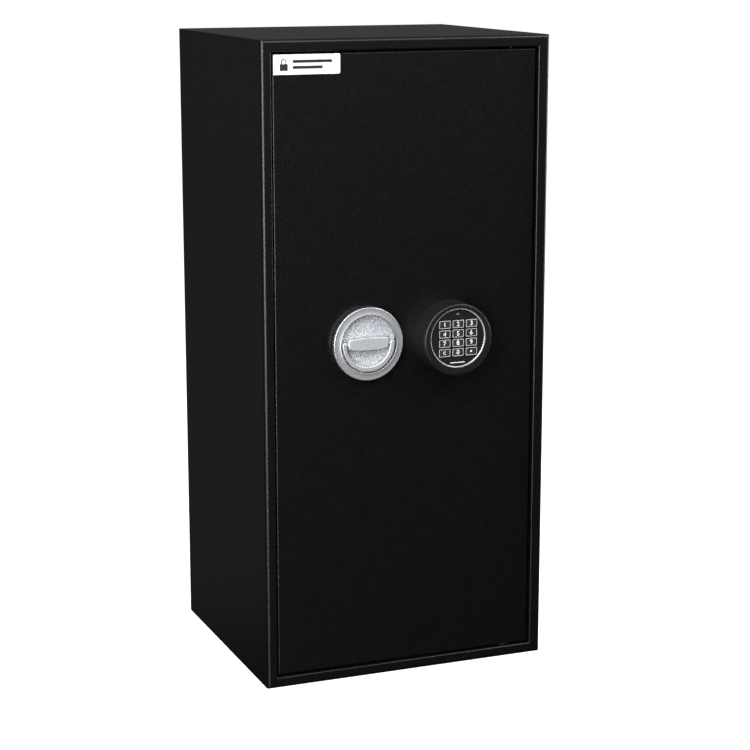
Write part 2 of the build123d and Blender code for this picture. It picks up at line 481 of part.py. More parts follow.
# ---- boltwork ----------------------------------------------------------------------------------
def rack_teeth(centre, teeth, depth):
    """Rack outline along local x at pitch height 0: teeth point to +y, the bar reaches to -depth."""
    pitch = pi * MODULE
    half = pitch / 4 - RACK_THINNING
    low, high = half + DEDENDUM * tan(PRESSURE), half - ADDENDUM * tan(PRESSURE)
    middles = [centre + (i - (teeth - 1) / 2) * pitch for i in range(teeth)]
    points = []
    for middle in middles:
        points += [(middle - low, -DEDENDUM), (middle - high, ADDENDUM), (middle + high, ADDENDUM),
                   (middle + low, -DEDENDUM)]
    first, last = middles[0] - pitch, middles[-1] + pitch
    return [(first, -depth), (first, -DEDENDUM)] + points + [(last, -DEDENDUM), (last, -depth)]


PLATE_X = (-PAN_X + 37, -PAN_X + 42)
ARM_END = LOCK_X + TRAVEL + 12
with BuildPart() as bolt_carriage:
    block(PLATE_X, (CARRIAGE_Y0, BOLT_Y + 12), (BOLT_ZS[0] - 18, BOLT_ZS[-1] + 18))
    fillet(bolt_carriage.edges().filter_by(Axis.X), 4)
    with BuildSketch(facing(CARRIAGE_Y1)):
        with BuildLine():
            teeth_line = rack_teeth(HANDLE_X, 13, HANDLE_Z - PITCH_R - ARM_Z0)
            Polyline(*[(x, HANDLE_Z - PITCH_R + h) for x, h in teeth_line], close=True)
        make_face()
    extrude(amount=CARRIAGE_Y1 - CARRIAGE_Y0)
    block((PLATE_X[0], ARM_END), (CARRIAGE_Y0, CARRIAGE_Y1), (ARM_Z0, ARM_Z1 - 1))
    for stud_x in STUD_XS:
        block((stud_x, stud_x + TRAVEL), (CARRIAGE_Y0 - 1, CARRIAGE_Y1 + 1), (STUD_Z - 3.3, STUD_Z + 3.3),
              Mode.SUBTRACT)
        for slot_end in (stud_x, stud_x + TRAVEL):
            round_y(slot_end, STUD_Z, (CARRIAGE_Y0 - 1, CARRIAGE_Y1 + 1), 3.3, Mode.SUBTRACT)
    for notch_x in (LOCK_X, LOCK_X + TRAVEL):
        block((notch_x - LOCK_W / 2 - 0.5, notch_x + LOCK_W / 2 + 0.5), (CARRIAGE_Y0 - 1, CARRIAGE_Y1 + 1),
              (ARM_Z1 - LOCK_THROW - 1, ARM_Z1 + 5), Mode.SUBTRACT)
save(bolt_carriage, "bolt_carriage")

with BuildPart() as locking_bolts:
    for bolt_z in BOLT_ZS:
        round_x(BOLT_Y, bolt_z, (-PAN_X, PLATE_X[0]), BOLT_R)
    tips = locking_bolts.edges().filter_by(GeomType.CIRCLE).group_by(Axis.X)[0]
    chamfer(tips, 1.5)
save(locking_bolts, "locking_bolts")


# The rod on the pinion's left goes up and the one on its right goes down.
for label, side, tip_z in (("top_rod", -1, PAN_Z1), ("bottom_rod", 1, PAN_Z0)):
    rod_x = HANDLE_X + side * PITCH_R
    up = -side
    with BuildPart() as upright_rod:
        with BuildSketch(facing(ROD_Y1)):
            with BuildLine():
                rack_line = rack_teeth(0, 12, 7)
                Polyline(*[(rod_x - side * h, HANDLE_Z + x) for x, h in rack_line], close=True)
            make_face()
        extrude(amount=ROD_Y1 - ROD_Y0)
        bar_x = sorted((rod_x + side * DEDENDUM, rod_x + side * 7))
        block(bar_x, (ROD_Y0, ROD_Y1), sorted((HANDLE_Z, tip_z - up * 60)))
        block((rod_x - ROD_W / 2, rod_x + ROD_W / 2), (ROD_Y0, ROD_Y1),
              sorted((tip_z - up * 110, tip_z - up * 50)))
        round_z(rod_x, ROD_Y, sorted((tip_z - up * 55, tip_z)), ROD_R)
    save(upright_rod, label)

# ---- keypad ------------------------------------------------------------------------------------
BASE_Y = DOOR_FACE - BASE_H
DRAWER_X = (KEYPAD_X - DRAWER_W / 2, KEYPAD_X + DRAWER_W / 2)
DRAWER_LOW, DRAWER_TOP = KEYPAD_Z - KEYPAD_R - 5, DIAL_Z - DIAL_R - 0.3
FLAP_TOP = DIAL_Z - DIAL_R + 3.5
CELL_Y = BOARD_Y + 9
with BuildPart() as keypad_base:
    round_y(KEYPAD_X, KEYPAD_Z, (BASE_Y, DOOR_FACE), KEYPAD_R)
    round_y(KEYPAD_X, KEYPAD_Z, (BASE_Y - 1, DOOR_FACE + 1), CABLE_HOLE_R, Mode.SUBTRACT)
    for screw_x in (KEYPAD_X - SCREW_X, KEYPAD_X + SCREW_X):
        round_y(screw_x, KEYPAD_Z, (BASE_Y - 1, DOOR_FACE + 1), SCREW_R, Mode.SUBTRACT)
save(keypad_base, "keypad_base")

with BuildPart() as keypad_screws:
    for screw_x in (KEYPAD_X - SCREW_X, KEYPAD_X + SCREW_X):
        round_y(screw_x, KEYPAD_Z, (BASE_Y, HARD_REAR - 0.5), SCREW_R)
        round_y(screw_x, KEYPAD_Z, (BASE_Y - 2.5, BASE_Y), 4.5)
save(keypad_screws, "keypad_screws")

HOUSING_WALL, HOUSING_R = 2.5, 2.2
RING_W = 1.9
with BuildPart() as keypad_housing:
    round_y(KEYPAD_X, KEYPAD_Z, (KEYPAD_FRONT, BASE_Y), KEYPAD_R)
    fillet(keypad_housing.faces().sort_by(Axis.Y)[0].edges(), HOUSING_R)
    round_y(KEYPAD_X, KEYPAD_Z, (DIAL_Y + 2.5, BASE_Y + 1), KEYPAD_R - HOUSING_WALL, Mode.SUBTRACT)
    round_y(KEYPAD_X, DIAL_Z, (KEYPAD_FRONT - 1, DIAL_Y + 3), DIAL_R, Mode.SUBTRACT)
    block((DRAWER_X[0] - 0.3, DRAWER_X[1] + 0.3), (KEYPAD_FRONT - 1, CELL_Y + 9.3),
          (DRAWER_LOW, FLAP_TOP + 0.3), Mode.SUBTRACT)
save(keypad_housing, "keypad_housing")

with BuildPart() as keypad_trim_ring:
    round_y(KEYPAD_X, DIAL_Z, (DIAL_Y - 1.6, DIAL_Y + 2.5), DIAL_R)
    round_y(KEYPAD_X, DIAL_Z, (DIAL_Y - 3, DIAL_Y + 3), DIAL_R - RING_W, Mode.SUBTRACT)
    chamfer(keypad_trim_ring.faces().sort_by(Axis.Y)[0].edges(), 0.6)
save(keypad_trim_ring, "keypad_trim_ring")

key_spots = {}
for row, names in enumerate(KEY_ROWS):
    for column, key_name in enumerate(names):
        key_spots[key_name] = (KEYPAD_X + (column - 1) * KEY_PITCH_X, DIAL_Z + (1.5 - row) * KEY_PITCH_Z)

LED_UP, LED_W, LED_H = 31.7, 4.5, 2.5
with BuildPart() as keypad_face:
    round_y(KEYPAD_X, DIAL_Z, (DIAL_Y, DIAL_Y + 2.5), DIAL_R - RING_W)
    for key_x, key_z in key_spots.values():
        block((key_x - KEY_W / 2 - 0.3, key_x + KEY_W / 2 + 0.3), (DIAL_Y - 1, DIAL_Y + 4),
              (key_z - KEY_H / 2 - 0.3, key_z + KEY_H / 2 + 0.3), Mode.SUBTRACT)
    with BuildSketch(facing(DIAL_Y + 3)):
        with Locations((KEYPAD_X, DIAL_Z + LED_UP)):
            Ellipse(LED_W / 2, LED_H / 2)
    extrude(amount=4, mode=Mode.SUBTRACT)
save(keypad_face, "keypad_face")

with BuildPart() as led_lens:
    with BuildSketch(facing(DIAL_Y + 4)):
        with Locations((KEYPAD_X, DIAL_Z + LED_UP)):
            Ellipse(LED_W / 2, LED_H / 2)
    extrude(amount=4.5)
    fillet(led_lens.faces().sort_by(Axis.Y)[0].edges(), 0.4)
save(led_lens, "led_lens")

with BuildPart() as keypad_circuit_board:
    round_y(KEYPAD_X, DIAL_Z, (BOARD_Y, BOARD_Y + 1.6), DIAL_R - 3)
save(keypad_circuit_board, "keypad_circuit_board")

CABLE_Z = KEYPAD_Z + 2
with BuildPart() as keypad_cable:
    round_y(KEYPAD_X, CABLE_Z, (BASE_Y - 0.5, CASE_Y[0] + 8), 2)
save(keypad_cable, "keypad_cable")

# The drawer is an outer flap with a nail groove and a tray that carries the cells behind it.
GROOVE_Z = (KEYPAD_Z - KEYPAD_R + 2.2, KEYPAD_Z - KEYPAD_R + 3.8)
TRAY_X, TRAY_T = (DRAWER_X[0] + 0.5, DRAWER_X[1] - 0.5), 1.5
with BuildPart() as battery_drawer:
    round_y(KEYPAD_X, KEYPAD_Z, (KEYPAD_FRONT, CELL_Y + 9), KEYPAD_R)
    fillet(battery_drawer.faces().sort_by(Axis.Y)[0].edges(), HOUSING_R)
    block(DRAWER_X, (KEYPAD_FRONT - 1, CELL_Y + 9), (DRAWER_LOW, FLAP_TOP), Mode.INTERSECT)
    round_y(KEYPAD_X, DIAL_Z, (KEYPAD_FRONT - 1, BOARD_Y + 2.2), DIAL_R + 0.3, Mode.SUBTRACT)
    block((DRAWER_X[0] - 1, DRAWER_X[1] + 1), (BOARD_Y + 2.2, CELL_Y + 10), (DRAWER_TOP, DIAL_Z),
          Mode.SUBTRACT)
    block(DRAWER_X, (KEYPAD_FRONT - 1, KEYPAD_FRONT + 1.8), GROOVE_Z, Mode.SUBTRACT)
    block(TRAY_X, (CELL_Y + CELL_R, CELL_Y + CELL_R + TRAY_T), (DRAWER_TOP - 2, DRAWER_TOP + CELL_L + 1))
    block(TRAY_X, (CELL_Y - 4, CELL_Y + CELL_R + 1), (DRAWER_TOP + CELL_L, DRAWER_TOP + CELL_L + TRAY_T))
save(battery_drawer, "battery_drawer")

with BuildPart() as battery_cells:
    cell_end = DRAWER_TOP + CELL_L
    for side in (-1, 1):
        cell_x = KEYPAD_X + side * (CELL_R + 0.2)
        round_z(cell_x, CELL_Y, (DRAWER_TOP, cell_end - 1), CELL_R)
        round_z(cell_x, CELL_Y, (cell_end - 1.5, cell_end), 1.9)
save(battery_cells, "battery_cells")

KEY_FRONT, KEY_BACK = DIAL_Y - 1.5, BOARD_Y - KEY_TRAVEL - 0.2
RIM, RIM_DEPTH = 1.2, 0.5
for key_name, (key_x, key_z) in key_spots.items():
    with BuildPart() as key:
        with BuildSketch(facing(KEY_BACK)):
            with Locations((key_x, key_z)):
                RectangleRounded(KEY_W, KEY_H, 1.2)
        extrude(amount=KEY_BACK - KEY_FRONT)
        fillet(key.faces().sort_by(Axis.Y)[0].edges(), 0.35)
        with BuildSketch(facing(KEY_FRONT + RIM_DEPTH)):
            with Locations((key_x, key_z)):
                RectangleRounded(KEY_W - 2 * RIM, KEY_H - 2 * RIM, 0.8)
        extrude(amount=2, mode=Mode.SUBTRACT)
        block((key_x - KEY_W / 2 - 0.8, key_x + KEY_W / 2 + 0.8), (KEY_BACK - 1.2, KEY_BACK),
              (key_z - KEY_H / 2 - 0.5, key_z + KEY_H / 2 + 0.5))
    save(key, key_name)
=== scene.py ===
import json
import math

import bmesh
import bpy
from mathutils import Matrix, Vector, noise


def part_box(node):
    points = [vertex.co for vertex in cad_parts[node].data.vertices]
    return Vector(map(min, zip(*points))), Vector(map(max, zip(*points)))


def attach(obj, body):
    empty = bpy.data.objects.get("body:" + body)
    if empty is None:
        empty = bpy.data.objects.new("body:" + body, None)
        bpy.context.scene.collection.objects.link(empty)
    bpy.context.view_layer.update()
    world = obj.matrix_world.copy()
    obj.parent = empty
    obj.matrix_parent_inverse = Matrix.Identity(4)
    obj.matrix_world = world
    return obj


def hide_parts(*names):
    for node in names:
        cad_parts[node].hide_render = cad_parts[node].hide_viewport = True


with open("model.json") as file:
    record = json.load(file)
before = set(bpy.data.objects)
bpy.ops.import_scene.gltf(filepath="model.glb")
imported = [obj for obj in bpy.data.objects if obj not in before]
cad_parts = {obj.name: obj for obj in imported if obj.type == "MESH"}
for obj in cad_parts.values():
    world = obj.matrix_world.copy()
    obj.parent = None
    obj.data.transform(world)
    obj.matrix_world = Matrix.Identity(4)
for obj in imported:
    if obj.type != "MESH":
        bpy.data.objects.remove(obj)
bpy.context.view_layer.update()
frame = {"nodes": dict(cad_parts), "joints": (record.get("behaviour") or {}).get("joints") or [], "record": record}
RECORD = frame["record"]
NODES = frame["nodes"]
MM = 0.001


# ---- places read from the frame --------------------------------------------------------
def joint(name):
    return next(j for j in frame["joints"] if j["name"] == name)


SHELL_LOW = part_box("outer_shell")[0]
DISC_LOW, DISC_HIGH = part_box("handle_disc")
BAR_LOW, BAR_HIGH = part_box("grip_bar")
BAIL_LOW, BAIL_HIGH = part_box("bail")
HANDLE = Vector(joint("handle_turn")["pos_m"])
FACE_LOW, FACE_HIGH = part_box("keypad_face")
DIAL = (FACE_LOW + FACE_HIGH) / 2
KEY_NODES = [f"key_{digit}" for digit in range(1, 10)] + ["key_clear", "key_0", "key_enter"]


# ---- material helpers ------------------------------------------------------------------
def set_ramp(node, stops):
    """Gives a colour ramp its stops, (place, colour) from low to high, at least two of them."""
    elements = node.color_ramp.elements
    for index, (place, colour) in enumerate(stops):
        element = elements[index] if index < 2 else elements.new(place)
        element.position = place
        element.color = (*colour, 1)


class Shader:
    """A Principled material and short calls for the nodes around it."""

    def __init__(self, name, base, rough, metallic=0.0, **sockets):
        self.mat = bpy.data.materials.new(name)
        self.mat.use_nodes = True
        self.tree = self.mat.node_tree
        self.bsdf = self.tree.nodes["Principled BSDF"]
        self.bsdf.inputs["Base Color"].default_value = (*base, 1)
        self.bsdf.inputs["Roughness"].default_value = rough
        self.bsdf.inputs["Metallic"].default_value = metallic
        for key, value in sockets.items():
            self.bsdf.inputs[key.replace("_", " ")].default_value = value
        self.coords = self.node("ShaderNodeTexCoord").outputs["Object"]

    def node(self, kind, **settings):
        made = self.tree.nodes.new(kind)
        for key, value in settings.items():
            setattr(made, key, value)
        return made

    def link(self, out, into):
        self.tree.links.new(out, into)

    def noise(self, scale, detail=2.0, roughness=0.5, stretch=None):
        """Noise in object space; scale is in cycles per metre."""
        made = self.node("ShaderNodeTexNoise")
        made.inputs["Scale"].default_value = scale
        made.inputs["Detail"].default_value = detail
        made.inputs["Roughness"].default_value = roughness
        source = self.coords
        if stretch:
            mapping = self.node("ShaderNodeMapping")
            mapping.inputs["Scale"].default_value = stretch
            self.link(self.coords, mapping.inputs["Vector"])
            source = mapping.outputs["Vector"]
        self.link(source, made.inputs["Vector"])
        return made.outputs["Fac"]

    def cells(self, scale):
        """Rounded cells in object space; scale is in cycles per metre."""
        made = self.node("ShaderNodeTexVoronoi", feature="SMOOTH_F1")
        made.inputs["Scale"].default_value = scale
        self.link(self.coords, made.inputs["Vector"])
        return made.outputs["Distance"]

    def ramp(self, fac, stops):
        """Maps 0..1 to colours."""
        made = self.node("ShaderNodeValToRGB")
        set_ramp(made, stops)
        self.link(fac, made.inputs["Fac"])
        return made.outputs["Color"]

    def span(self, fac, low, high):
        """Maps 0..1 to low..high."""
        made = self.node("ShaderNodeMapRange")
        made.inputs["To Min"].default_value = low
        made.inputs["To Max"].default_value = high
        self.link(fac, made.inputs["Value"])
        return made.outputs["Result"]

    def colour(self, out):
        self.link(out, self.bsdf.inputs["Base Color"])

    def rough(self, out):
        self.link(out, self.bsdf.inputs["Roughness"])

    def bump(self, height, strength, distance, below=None):
        """A bump whose full height is distance metres; below is the bump that it lies on."""
        made = self.node("ShaderNodeBump")
        made.inputs["Strength"].default_value = strength
        made.inputs["Distance"].default_value = distance
        self.link(height, made.inputs["Height"])
        if below is not None:
            self.link(below, made.inputs["Normal"])
        self.link(made.outputs["Normal"], self.bsdf.inputs["Normal"])
        return made.outputs["Normal"]


def scaled(colour, factor):
    return tuple(channel * factor for channel in colour)


# In the finishes below, grain is in cycles per metre and depth, the height of the grain, in metres.
def powder_coat(name, shade, rough, grain, depth):
    """Semi-gloss powder coat with a fine wrinkled orange-peel grain."""
    s = Shader(name, (shade, shade, shade * 1.03), rough, Specular_IOR_Level=0.5)
    dark = (shade * 0.85,) * 3
    light = (shade * 1.15, shade * 1.15, shade * 1.2)
    s.colour(s.ramp(s.noise(60, 3), [(0.3, dark), (0.7, light)]))
    s.rough(s.span(s.noise(grain * 0.9, 2), rough - 0.07, rough + 0.09))
    orange_peel = s.bump(s.cells(grain), 0.55, depth)
    s.bump(s.noise(grain * 2.3, 3, 0.6), 0.4, depth * 0.6, below=orange_peel)
    return s.mat


def metal(name, base, rough, grain, depth=0.00002, spread=0.06):
    """Bare or plated metal with slight unevenness in its polish."""
    s = Shader(name, base, rough, 1.0)
    uneven = s.noise(grain, 3, 0.6)
    s.rough(s.span(uneven, rough - spread, rough + spread))
    s.colour(s.ramp(s.noise(35, 2), [(0.25, scaled(base, 0.93)), (0.75, base)]))
    s.bump(uneven, 0.3, depth)
    return s.mat


def plastic(name, base, rough, grain=1500, depth=0.00003, strength=0.35):
    """Moulded plastic with spark-eroded grain."""
    s = Shader(name, base, rough, Specular_IOR_Level=0.5)
    grainy = s.noise(grain, 3, 0.6)
    s.rough(s.span(grainy, rough - 0.05, rough + 0.07))
    s.colour(s.ramp(s.noise(90, 2), [(0.3, scaled(base, 0.9)), (0.7, scaled(base, 1.08))]))
    s.bump(grainy, strength, depth)
    return s.mat


def felt(name, base):
    """Needled felt: matt, with short fibres and a soft sheen."""
    s = Shader(name, base, 0.95, Sheen_Weight=0.6, Sheen_Roughness=0.5)
    fibres = s.noise(1400, 6, 0.75)
    s.colour(s.ramp(fibres, [(0.3, scaled(base, 0.55)), (0.7, scaled(base, 1.5))]))
    s.bump(fibres, 0.9, 0.0006)
    return s.mat


def cast_recess(name):
    """Silver-painted cast surface: rough, pebbled, a little metallic, with painted shade in its pits."""
    s = Shader(name, (0.82, 0.84, 0.86), 0.62, 0.45)
    pebbles = s.noise(800, 3, 0.72)
    # the pits are coloured darker than the silver: painted shade in the hollows of the pebbles
    shaded_pit, flank, crest = (0.15, 0.16, 0.18), (0.50, 0.52, 0.55), (0.76, 0.78, 0.82)
    s.colour(s.ramp(pebbles, [(0.40, shaded_pit), (0.47, flank), (0.60, crest)]))
    s.rough(s.span(s.noise(500, 2), 0.5, 0.75))
    s.bump(pebbles, 0.9, 0.0005)
    return s.mat


def satin_silver(name, base, metallic, rough):
    """Satin-chromed casting: light, softly reflecting, with faint brushing and cloudy patches."""
    s = Shader(name, base, rough, metallic)
    clouds = s.noise(160, 3, 0.6)
    s.colour(s.ramp(clouds, [(0.3, scaled(base, 0.86)), (0.7, base)]))
    brushed = s.noise(900, 3, 0.6, (0.25, 1, 3))
    s.rough(s.span(brushed, rough - 0.06, rough + 0.08))
    s.bump(brushed, 0.25, 0.00002)
    return s.mat


MATS = {
    "black_powder_coat": powder_coat("powder_coat_black", 0.0020, 0.33, grain=420, depth=0.00007),
    "grey_inner_paint": powder_coat("powder_coat_grey", 0.13, 0.45, grain=700, depth=0.00004),
    "zinc_plated_steel": metal("zinc_plate", (0.62, 0.62, 0.60), 0.33, grain=600),
    "hardened_steel": metal("black_oxide_steel", (0.020, 0.020, 0.022), 0.5, grain=900),
    "bronze_bush": metal("sintered_bronze", (0.58, 0.38, 0.18), 0.42, grain=1600),
    "seal_rubber": plastic("seal_rubber", (0.012, 0.012, 0.012), 0.75, grain=1200, depth=0.00006),
    "felt": felt("charcoal_felt", (0.035, 0.036, 0.04)),
    "rack_plastic": plastic("rack_foam", (0.02, 0.02, 0.02), 0.85,
                            grain=2500, depth=0.0002, strength=0.8),
    "label_white": plastic("label_white", (0.86, 0.86, 0.85), 0.32,
                           grain=800, depth=0.00001, strength=0.15),
    "lock_alloy": metal("lock_alloy", (0.66, 0.66, 0.67), 0.45, grain=1200),
    "black_plastic": plastic("housing_plastic", (0.0050, 0.0050, 0.0053), 0.42),
    "trim_metal": satin_silver("trim_metal", (0.62, 0.62, 0.63), metallic=0.4, rough=0.30),
    "keypad_face_plastic": plastic("keypad_face_plastic", (0.007, 0.007, 0.0074), 0.40),
    "led_lens_plastic": plastic("led_lens", (0.16, 0.16, 0.155), 0.3,
                                grain=400, depth=0.00001, strength=0.1),
    "circuit_board": plastic("circuit_board", (0.015, 0.09, 0.04), 0.35),
    "satin_alloy": metal("satin_alloy", (0.74, 0.75, 0.77), 0.34, grain=1300),
    "bolt_chrome": metal("bolt_chrome", (0.78, 0.78, 0.79), 0.10,
                         grain=500, depth=0.000005, spread=0.03),
    "battery_can": plastic("battery_can", (0.32, 0.19, 0.05), 0.28),
    "key_plastic": plastic("key_plastic", (0.020, 0.020, 0.022), 0.5),
}
SLOT_OF = {part["node"]: part["material_slot"] for part in RECORD["subparts"]}
for node_name, obj in NODES.items():
    obj.data.materials.clear()
    obj.data.materials.append(MATS[SLOT_OF[node_name]])


# ---- mesh helpers ----------------------------------------------------------------------
SIDEWAYS = 0.2  # a face whose normal looks forward by less than this is a side wall


def mesh_piece(name, bm, body, mats, smooth=True):
    """A finished piece from a bmesh: it rides on its body."""
    bmesh.ops.recalc_face_normals(bm, faces=bm.faces)
    mesh = bpy.data.meshes.new(name)
    bm.to_mesh(mesh)
    bm.free()
    if smooth:
        mesh.shade_smooth()
    made = bpy.data.objects.new(name, mesh)
    bpy.context.scene.collection.objects.link(made)
    for material in mats:
        mesh.materials.append(material)
    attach(made, body)
    return made


def polish_edges(bm, flat=0.94):
    """Gives material 1 to the bevels, which look less than flat and more than SIDEWAYS forward."""
    bmesh.ops.recalc_face_normals(bm, faces=bm.faces)
    for face in bm.faces:
        if SIDEWAYS < -face.normal.y < flat:
            face.material_index = 1


def facing_point(x, z, y):
    """A point drawn on the door: x to the right, z up, y its depth."""
    return Vector((x, y, z))


def ring_faces(bm, first, second):
    """Joins two closed loops of the same number of vertices by quads."""
    count = len(first)
    for i in range(count):
        bm.faces.new((first[i], first[(i + 1) % count], second[(i + 1) % count], second[i]))


def add_loops(bm, loops):
    return [[bm.verts.new(point) for point in loop] for loop in loops]


def loft(bm, loops):
    """Skins a list of closed outlines, each a list of points, and caps both ends."""
    made = add_loops(bm, loops)
    for first, second in zip(made, made[1:]):
        ring_faces(bm, first, second)
    bm.faces.new(made[0])
    bm.faces.new(made[-1])


def loft_ring(bm, loops):
    """Skins a list of closed outlines and joins the last one to the first."""
    made = add_loops(bm, loops)
    for first, second in zip(made, made[1:] + made[:1]):
        ring_faces(bm, first, second)


def circle(centre, radius, y, count):
    """Points round the axis along Y through centre."""
    angles = [2 * math.pi * i / count for i in range(count)]
    return [facing_point(centre.x + radius * math.cos(a), centre.z + radius * math.sin(a), y)
            for a in angles]


def rounded_rectangle(centre, width, height, radius, y, steps=6):
    """Outline of a rectangle with round corners; centre is (x, z)."""
    points = []
    for corner, (sx, sz) in enumerate(((1, 1), (-1, 1), (-1, -1), (1, -1))):
        cx = centre[0] + sx * (width / 2 - radius)
        cz = centre[1] + sz * (height / 2 - radius)
        for i in range(steps + 1):
            angle = math.pi / 2 * (corner + i / steps)
            points.append(facing_point(cx + radius * math.cos(angle), cz + radius * math.sin(angle), y))
    return points


def quarter_round(size):
    """(inset, drop) pairs round a quarter circle, from the side wall up to the face."""
    steps = 5
    turns = [math.pi / 2 * i / steps for i in range(steps + 1)]
    return [(size * (1 - math.cos(t)), size * (1 - math.sin(t))) for t in turns]


# ---- inks and finishes that only the loose pieces have ---------------------------------
PRINTED = {"depth": 0.00001, "strength": 0.1}  # a print is almost smooth
WHITE_INK = plastic("legend_white", (0.85, 0.85, 0.84), 0.5, grain=600, **PRINTED)
BAR_INK = plastic("plain_bar_grey", (0.56, 0.56, 0.56), 0.5, grain=600, **PRINTED)
DARK_INK = plastic("label_ink", (0.02, 0.02, 0.022), 0.4, grain=600, **PRINTED)
RIM_GREY = plastic("key_rim_grey", (0.52, 0.52, 0.525), 0.45, grain=900, depth=0.00001, strength=0.2)
CAST_FLOOR = cast_recess("cast_recess")
BAND_SILVER = satin_silver("band_silver", (0.43, 0.44, 0.455), metallic=0.5, rough=0.36)
BAIL_SILVER = satin_silver("bail_silver", (0.70, 0.71, 0.725), metallic=0.6, rough=0.36)
# a darker copy of the band's metal for its side walls: partly real, as the fuller metal reflects the dark studio,
# and partly painted shade in its darker colour
SHADED_SIDE_METAL = metal("side_metal_painted_shade", (0.36, 0.37, 0.385), 0.36, grain=1100)
POLISHED = metal("polished_edge", (0.60, 0.61, 0.63), 0.44, grain=1300, depth=0.000001, spread=0.01)
BAR_SILVER = satin_silver("bar_silver", (0.50, 0.51, 0.52), metallic=0.35, rough=0.45)


# ---- handle ----------------------------------------------------------------------------
DISC_R = (DISC_HIGH.x - DISC_LOW.x) / 2
DISC_BACK = DISC_HIGH.y
BAIL_R = (BAIL_HIGH.x - BAIL_LOW.x) / 2
BAIL_BAND = 6.3 * MM  # width of the bail's bar
CUP_R = BAIL_R + 1.9 * MM  # the recess leaves a gap round the folded bail
CUP_FLOOR = BAIL_HIGH.y + 2.0 * MM


def band_profile():
    """Section of the ring band as (radius, y): a low cone between a rounded edge and an inner lip."""
    front = DISC_LOW.y
    edge_y = front + 2.1 * MM  # the cone falls this far from the lip to the outer edge
    edge_flat, groove_w, groove_d = 2.0 * MM, 0.3 * MM, 0.15 * MM
    edge_round, lip_round, chamfer = 1.3 * MM, 0.5 * MM, 0.6 * MM
    foot = 2 * MM  # reaches in below the recess floor
    points = [(CUP_R - foot, DISC_BACK), (DISC_R - chamfer, DISC_BACK)]
    points.append((DISC_R, DISC_BACK - chamfer))
    points += [(DISC_R - inset, edge_y + drop) for inset, drop in quarter_round(edge_round)]
    points.append((DISC_R - edge_flat, edge_y))
    points.append((DISC_R - edge_flat - groove_w, edge_y + groove_d))
    points += [(CUP_R + 1.5 * MM, front + 0.25 * MM), (CUP_R + 1.1 * MM, front + 0.05 * MM)]
    points += [(CUP_R + lip_round * (1 - math.sin(turn)), front + lip_round * (1 - math.cos(turn)))
               for turn in (0, 0.5, 1.0, math.pi / 2)]
    points += [(CUP_R, CUP_FLOOR - chamfer), (CUP_R - 0.8 * MM, CUP_FLOOR)]
    points.append((CUP_R - foot, CUP_FLOOR + 0.2 * MM))
    return points


def handle_band():
    """The band: a silver face, polished edges and side walls in a darker copy of the metal, whose darkness is
    painted shade.
    """
    band = bmesh.new()
    sides = 192
    loft_ring(band, [circle(HANDLE, radius, y, sides) for radius, y in band_profile()])
    polish_edges(band)
    # the side walls take the darker metal: painted shade
    for face in band.faces:
        if abs(face.normal.y) <= SIDEWAYS:
            face.material_index = 2
    return mesh_piece("handle_band", band, "handle", [BAND_SILVER, POLISHED, SHADED_SIDE_METAL])


def handle_recess():
    """The rough cast floor of the cup: a disc of rings whose points are moved by noise."""
    rings, count = 46, 176
    grain_scale, grain_height, grain_limit = 620, 0.28 * MM, 0.9
    edge = CUP_R - 0.5 * MM
    recess = bmesh.new()
    middle = recess.verts.new((HANDLE.x, CUP_FLOOR, HANDLE.z))
    loops = add_loops(recess, [circle(HANDLE, edge * step / rings, CUP_FLOOR, count)
                               for step in range(1, rings + 1)])
    for i in range(count):
        recess.faces.new((middle, loops[0][i], loops[0][(i + 1) % count]))
    for first, second in zip(loops, loops[1:]):
        ring_faces(recess, first, second)
    rear = [recess.verts.new(point) for point in circle(HANDLE, edge, DISC_BACK, count)]
    ring_faces(recess, loops[-1], rear)
    recess.faces.new(rear)
    for loop in [[middle]] + loops[:-1]:
        for vert in loop:
            grain = noise.fractal(vert.co * grain_scale, 1.0, 2.0, 3)
            vert.co.y += min(max(grain, -grain_limit), grain_limit) * grain_height
    mesh_piece("handle_recess", recess, "handle", [CAST_FLOOR])


def barrel_outline(inset, y):
    """Outline of the grip bar: straight ends, bowed top and bottom, rounded corners."""
    steps = 14
    half_length, half_end = 28.3 * MM, 7.25 * MM
    half_middle = (BAR_HIGH.z - BAR_LOW.z) / 2
    corner_from, corner_drop = 0.93, 0.9 * MM
    points = []
    for side in (1, -1):
        for i in range(steps + 1):
            along = 1 - 2 * i / steps
            bow = half_end + (half_middle - half_end) * (1 - along ** 2)
            corner = max(abs(along) - corner_from, 0) / (1 - corner_from)
            height = bow - inset - corner_drop * corner ** 2
            points.append(facing_point(HANDLE.x + side * along * (half_length - inset),
                                       HANDLE.z + side * height, y))
    return points


def grip_bar():
    """The bar across the cup: flared at its foot, with a broad polished bevel round its face."""
    front, foot_y = BAR_LOW.y, CUP_FLOOR + 0.3 * MM
    flare, flare_h, bevel, face_inset = 0.5 * MM, 0.8 * MM, 1.9 * MM, 3.6 * MM
    bar = bmesh.new()
    loops = [barrel_outline(-flare, foot_y), barrel_outline(0, foot_y - flare_h)]
    loops += [barrel_outline(inset, front + drop) for inset, drop in quarter_round(bevel)]
    loops.append(barrel_outline(face_inset, front))
    loft(bar, loops)
    polish_edges(bar)
    return mesh_piece("handle_grip_bar", bar, "handle", [BAR_SILVER, POLISHED])


def bail_pins():
    """The two pins that the bail turns on, with chamfered outer ends."""
    pin_r, end_r = 2 * MM, 1.5 * MM
    start, shoulder, end = 26 * MM, 34.0 * MM, 34.6 * MM
    sides = 24
    angles = [2 * math.pi * i / sides for i in range(sides)]
    pivot_y = joint("bail_fold_out")["pos_m"][1]
    pins = bmesh.new()
    for side in (-1, 1):
        loft(pins, [[Vector((HANDLE.x + side * x, pivot_y + radius * math.cos(a),
                             HANDLE.z + radius * math.sin(a))) for a in angles]
                    for x, radius in ((start, pin_r), (shoulder, pin_r), (end, end_r))])
    mesh_piece("handle_bail_pins", pins, "handle", [BAR_SILVER])


